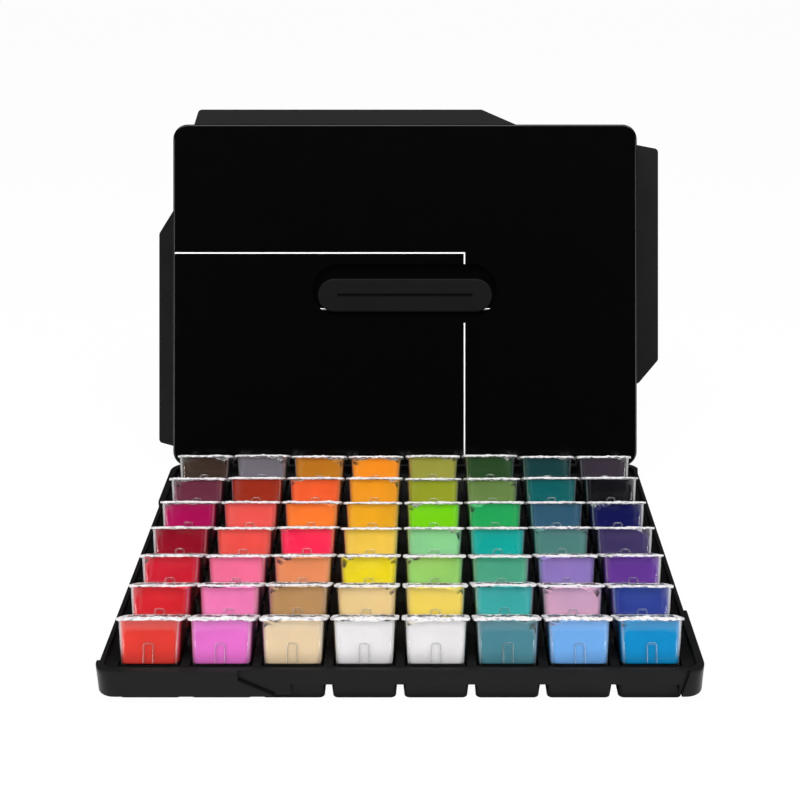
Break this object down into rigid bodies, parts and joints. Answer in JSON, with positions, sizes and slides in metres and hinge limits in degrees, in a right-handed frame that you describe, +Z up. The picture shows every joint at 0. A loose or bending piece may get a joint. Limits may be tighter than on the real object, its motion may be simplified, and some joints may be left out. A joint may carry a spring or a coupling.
{
  "type": "watercolour paint box",
  "caption": "Flat black paint box: a low tray of clear square cups of water-based paint, and a deep lift-off lid with a fold-down handle and a snap flap on each side.",
  "frame": {"origin": "on the table, under the middle of the whole object with its lid leaning behind the tray", "axes": "+Z up, +Y from the user to the lid, +X to the user's right"},
  "size_m": [0.4258, 0.4497, 0.2775],
  "materials": {
    "tray_black": "satin moulded",
    "lid_black": "high gloss",
    "flap_black": "satin moulded",
    "handle_black": "satin moulded",
    "pin_steel": "drawn wire",
    "clear_cup": "clear moulded",
    "foil": "torn, white coated",
    "paint_vermilion": "wet",
    "paint_orchid_pink": "wet",
    "paint_cream": "wet",
    "paint_white": "wet",
    "paint_zinc_white": "wet",
    "paint_grey_teal": "wet",
    "paint_sky_blue": "wet",
    "paint_cerulean": "wet",
    "paint_row_2": "wet",
    "paint_row_3": "wet",
    "paint_row_4": "wet",
    "paint_row_5": "wet",
    "paint_row_6": "wet",
    "paint_row_7": "wet"
  },
  "bodies": {
    "tray": {"tray": "tray_black", "row_2_cups": "clear_cup", "row_2_paints": "paint_row_2", "row_2_foils": "foil", "row_3_cups": "clear_cup", "row_3_paints": "paint_row_3", "row_3_foils": "foil", "row_4_cups": "clear_cup", "row_4_paints": "paint_row_4", "row_4_foils": "foil", "row_5_cups": "clear_cup", "row_5_paints": "paint_row_5", "row_5_foils": "foil", "row_6_cups": "clear_cup", "row_6_paints": "paint_row_6", "row_6_foils": "foil", "row_7_cups": "clear_cup", "row_7_paints": "paint_row_7", "row_7_foils": "foil"},
    "front_cup_1": {"front_cup_1": "clear_cup", "front_paint_1": "paint_vermilion", "front_foil_1": "foil"},
    "front_cup_2": {"front_cup_2": "clear_cup", "front_paint_2": "paint_orchid_pink", "front_foil_2": "foil"},
    "front_cup_3": {"front_cup_3": "clear_cup", "front_paint_3": "paint_cream", "front_foil_3": "foil"},
    "front_cup_4": {"front_cup_4": "clear_cup", "front_paint_4": "paint_white", "front_foil_4": "foil"},
    "front_cup_5": {"front_cup_5": "clear_cup", "front_paint_5": "paint_zinc_white", "front_foil_5": "foil"},
    "front_cup_6": {"front_cup_6": "clear_cup", "front_paint_6": "paint_grey_teal", "front_foil_6": "foil"},
    "front_cup_7": {"front_cup_7": "clear_cup", "front_paint_7": "paint_sky_blue", "front_foil_7": "foil"},
    "front_cup_8": {"front_cup_8": "clear_cup", "front_paint_8": "paint_cerulean", "front_foil_8": "foil"},
    "lid": {"lid_shell": "lid_black", "handle_pins": "pin_steel", "hinge_pin_top": "pin_steel", "hinge_pin_right": "pin_steel", "hinge_pin_bottom": "pin_steel", "hinge_pin_left": "pin_steel"},
    "handle": {"handle": "handle_black"},
    "flap_top": {"flap_top": "flap_black"},
    "flap_right": {"flap_right": "flap_black"},
    "flap_bottom": {"flap_bottom": "flap_black"},
    "flap_left": {"flap_left": "flap_black"}
  },
  "joints": [
    {"name": "front_cup_1_lift", "type": "slide", "parent": "tray", "child": "front_cup_1", "axis": [0, 0, 1], "range_m": [0, 0.05]},
    {"name": "front_cup_2_lift", "type": "slide", "parent": "tray", "child": "front_cup_2", "axis": [0, 0, 1], "range_m": [0, 0.05]},
    {"name": "front_cup_3_lift", "type": "slide", "parent": "tray", "child": "front_cup_3", "axis": [0, 0, 1], "range_m": [0, 0.05]},
    {"name": "front_cup_4_lift", "type": "slide", "parent": "tray", "child": "front_cup_4", "axis": [0, 0, 1], "range_m": [0, 0.05]},
    {"name": "front_cup_5_lift", "type": "slide", "parent": "tray", "child": "front_cup_5", "axis": [0, 0, 1], "range_m": [0, 0.05]},
    {"name": "front_cup_6_lift", "type": "slide", "parent": "tray", "child": "front_cup_6", "axis": [0, 0, 1], "range_m": [0, 0.05]},
    {"name": "front_cup_7_lift", "type": "slide", "parent": "tray", "child": "front_cup_7", "axis": [0, 0, 1], "range_m": [0, 0.05]},
    {"name": "front_cup_8_lift", "type": "slide", "parent": "tray", "child": "front_cup_8", "axis": [0, 0, 1], "range_m": [0, 0.05]},
    {"name": "lid_lift", "type": "slide", "parent": "tray", "child": "lid", "axis": [0, 0, 1], "range_m": [0, 0.12]},
    {"name": "handle_swing", "type": "hinge", "parent": "lid", "child": "handle", "pos_m": [0, 0.10984, 0.13769], "axis": [1, 0, 0], "range_deg": [0, 90]},
    {"name": "flap_top_hinge", "type": "hinge", "parent": "lid", "child": "flap_top", "pos_m": [0, 0.20518, 0.25864], "axis": [1, 0, 0], "range_deg": [-87, 25]},
    {"name": "flap_right_hinge", "type": "hinge", "parent": "lid", "child": "flap_right", "pos_m": [0.1882, 0.14787, 0.13289], "axis": [0, -0.4147, -0.91], "range_deg": [-109, 3]},
    {"name": "flap_bottom_hinge", "type": "hinge", "parent": "lid", "child": "flap_bottom", "pos_m": [0, 0.09056, 0.00713], "axis": [-1, 0, 0], "range_deg": [-7, 105]},
    {"name": "flap_left_hinge", "type": "hinge", "parent": "lid", "child": "flap_left", "pos_m": [-0.1882, 0.14787, 0.13289], "axis": [0, 0.4147, 0.91], "range_deg": [-80, 32]}
  ]
}
